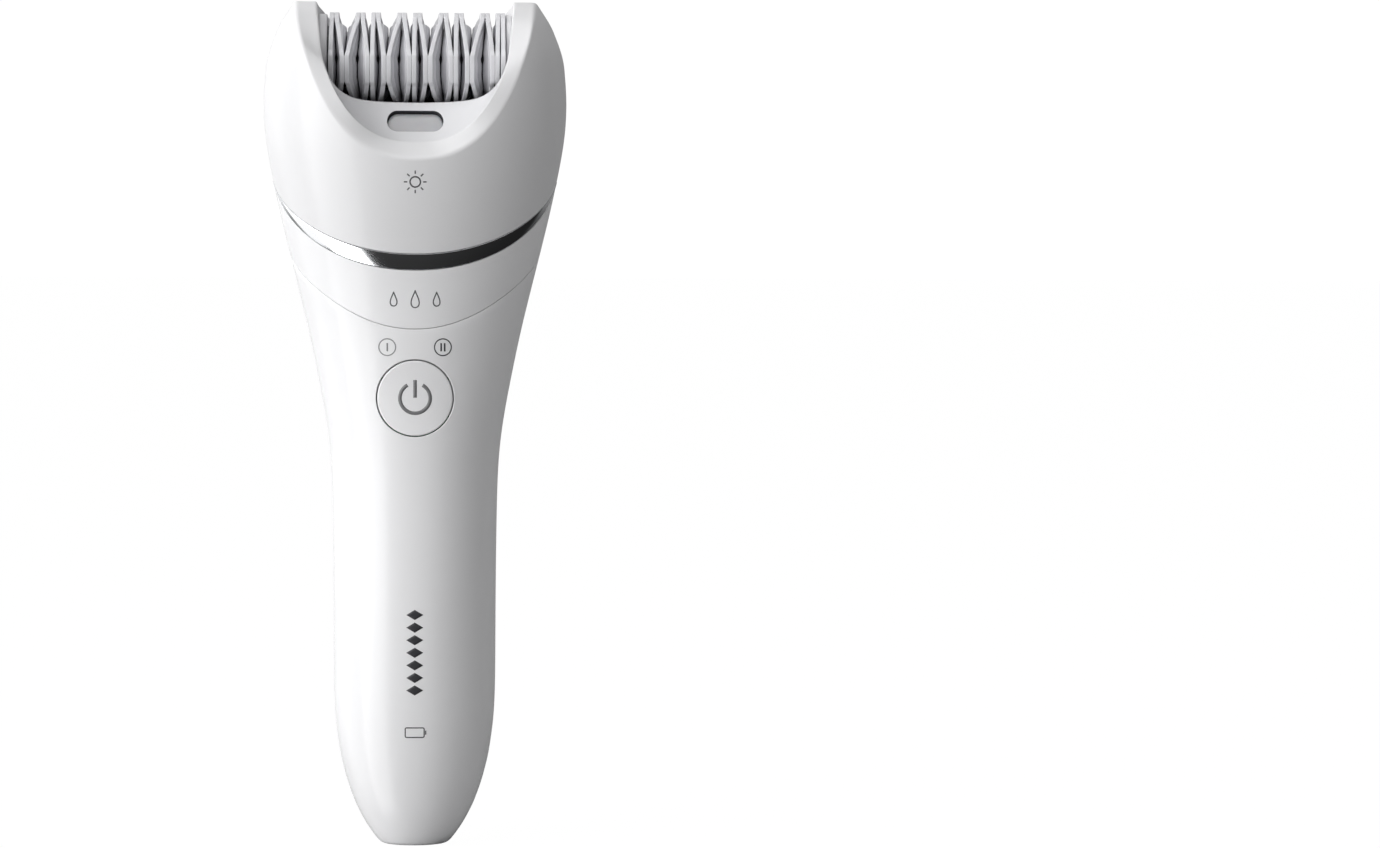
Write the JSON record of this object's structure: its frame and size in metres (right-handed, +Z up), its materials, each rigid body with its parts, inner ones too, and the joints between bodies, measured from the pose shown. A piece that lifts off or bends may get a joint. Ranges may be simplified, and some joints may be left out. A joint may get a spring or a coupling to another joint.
{
  "type": "epilator",
  "caption": "Upright hand-held epilator: a spinning barrel of paired tweezer discs in a pull-off head on a slim handle, with push buttons, a motor and a gear train.",
  "frame": {"origin": "on the surface it stands on, under the middle of its bounding box", "axes": "+Z up along the handle towards the barrel, -Y out of the front (button side), +X to the right seen from the front"},
  "size_m": [0.0628, 0.0448, 0.175],
  "materials": {
    "shell_white": "high gloss moulded white",
    "satin_white": "satin moulded light grey-white",
    "chrome_trim": "mirror-bright plated trim",
    "light_lens": "translucent grey",
    "disc_white": "fine satin white",
    "dark_plastic": "fine texture",
    "nylon": "natural, unfilled",
    "soft_rubber": "matte grey",
    "circuit_board": "green solder mask",
    "cell_wrap": "blue shrink wrap over a light can",
    "led": "clear with yellow phosphor",
    "steel": "satin",
    "brass": "turned"
  },
  "bodies": {
    "handle": {"handle_front_shell": "shell_white", "handle_back_shell": "shell_white", "neck_collar": "shell_white", "neck_bulkhead": "satin_white", "shaft_seal": "soft_rubber", "charging_socket": "dark_plastic", "charge_pin_left": "brass", "charge_pin_right": "brass", "chassis": "satin_white", "main_board": "circuit_board", "board_screw_upper": "steel", "board_screw_lower": "steel", "battery_cell": "cell_wrap", "motor": "steel", "motor_mount": "soft_rubber", "speed_light_low": "light_lens", "speed_light_high": "light_lens", "battery_light": "light_lens", "power_switch": "dark_plastic", "button_seal": "soft_rubber", "release_spring": "steel"},
    "head": {"head_shell": "shell_white", "chrome_band": "chrome_trim", "head_base": "satin_white", "barrel_cradle": "satin_white", "light_window": "light_lens", "light_board": "circuit_board", "head_light_led": "led", "bearing_plate_right": "steel", "bearing_plate_left": "steel", "barrel_axle": "steel", "gear_bracket": "satin_white"},
    "barrel": {"barrel_drum": "satin_white", "barrel_gear": "nylon", "tweezer_disc_01": "disc_white", "tweezer_disc_02": "disc_white", "tweezer_disc_03": "disc_white", "tweezer_disc_04": "disc_white", "tweezer_disc_05": "disc_white", "tweezer_disc_06": "disc_white", "tweezer_disc_07": "disc_white", "tweezer_disc_08": "disc_white", "tweezer_disc_09": "disc_white", "tweezer_disc_10": "disc_white", "tweezer_disc_11": "disc_white", "tweezer_disc_12": "disc_white", "tweezer_disc_13": "disc_white", "tweezer_disc_14": "disc_white", "tweezer_disc_15": "disc_white", "tweezer_disc_16": "disc_white", "tweezer_disc_17": "disc_white", "tweezer_disc_18": "disc_white"},
    "idler": {"idler_gear": "nylon"},
    "crown": {"crown_gear": "nylon", "crown_shaft": "steel"},
    "motor_rotor": {"motor_shaft": "steel", "motor_pinion": "brass"},
    "power_button": {"power_button": "shell_white"},
    "release_button": {"release_button": "satin_white", "release_latch": "dark_plastic"}
  },
  "joints": [
    {"name": "head_detach", "type": "slide", "parent": "handle", "child": "head", "axis": [0, 0, 1], "range_m": [0, 0.03]},
    {"name": "barrel_spin", "type": "hinge", "parent": "head", "child": "barrel", "pos_m": [0, -0.001, 0.1626], "axis": [1, 0, 0], "continuous": true},
    {"name": "idler_spin", "type": "hinge", "parent": "head", "child": "idler", "pos_m": [0, -0.001, 0.1506], "axis": [1, 0, 0], "continuous": true},
    {"name": "crown_spin", "type": "hinge", "parent": "head", "child": "crown", "pos_m": [0, -0.001, 0.1406], "axis": [1, 0, 0], "continuous": true},
    {"name": "motor_spin", "type": "hinge", "parent": "handle", "child": "motor_rotor", "pos_m": [0, -0.001, 0.1333], "axis": [0, 0, 1], "continuous": true},
    {"name": "power_button_press", "type": "slide", "parent": "handle", "child": "power_button", "axis": [0, 1, 0], "range_m": [0, 0.0006], "stiffness_N_per_m": 300, "springref_m": -0.001},
    {"name": "release_press", "type": "slide", "parent": "handle", "child": "release_button", "axis": [0, -1, 0], "range_m": [0, 0.0012], "stiffness_N_per_m": 300, "springref_m": -0.002, "deforming": ["release_spring"]}
  ],
  "couplings": [
    {"joint": "idler_spin", "follows": "barrel_spin", "ratio": -1},
    {"joint": "crown_spin", "follows": "barrel_spin", "ratio": 1.5},
    {"joint": "motor_spin", "follows": "barrel_spin", "ratio": 3.75}
  ]
}
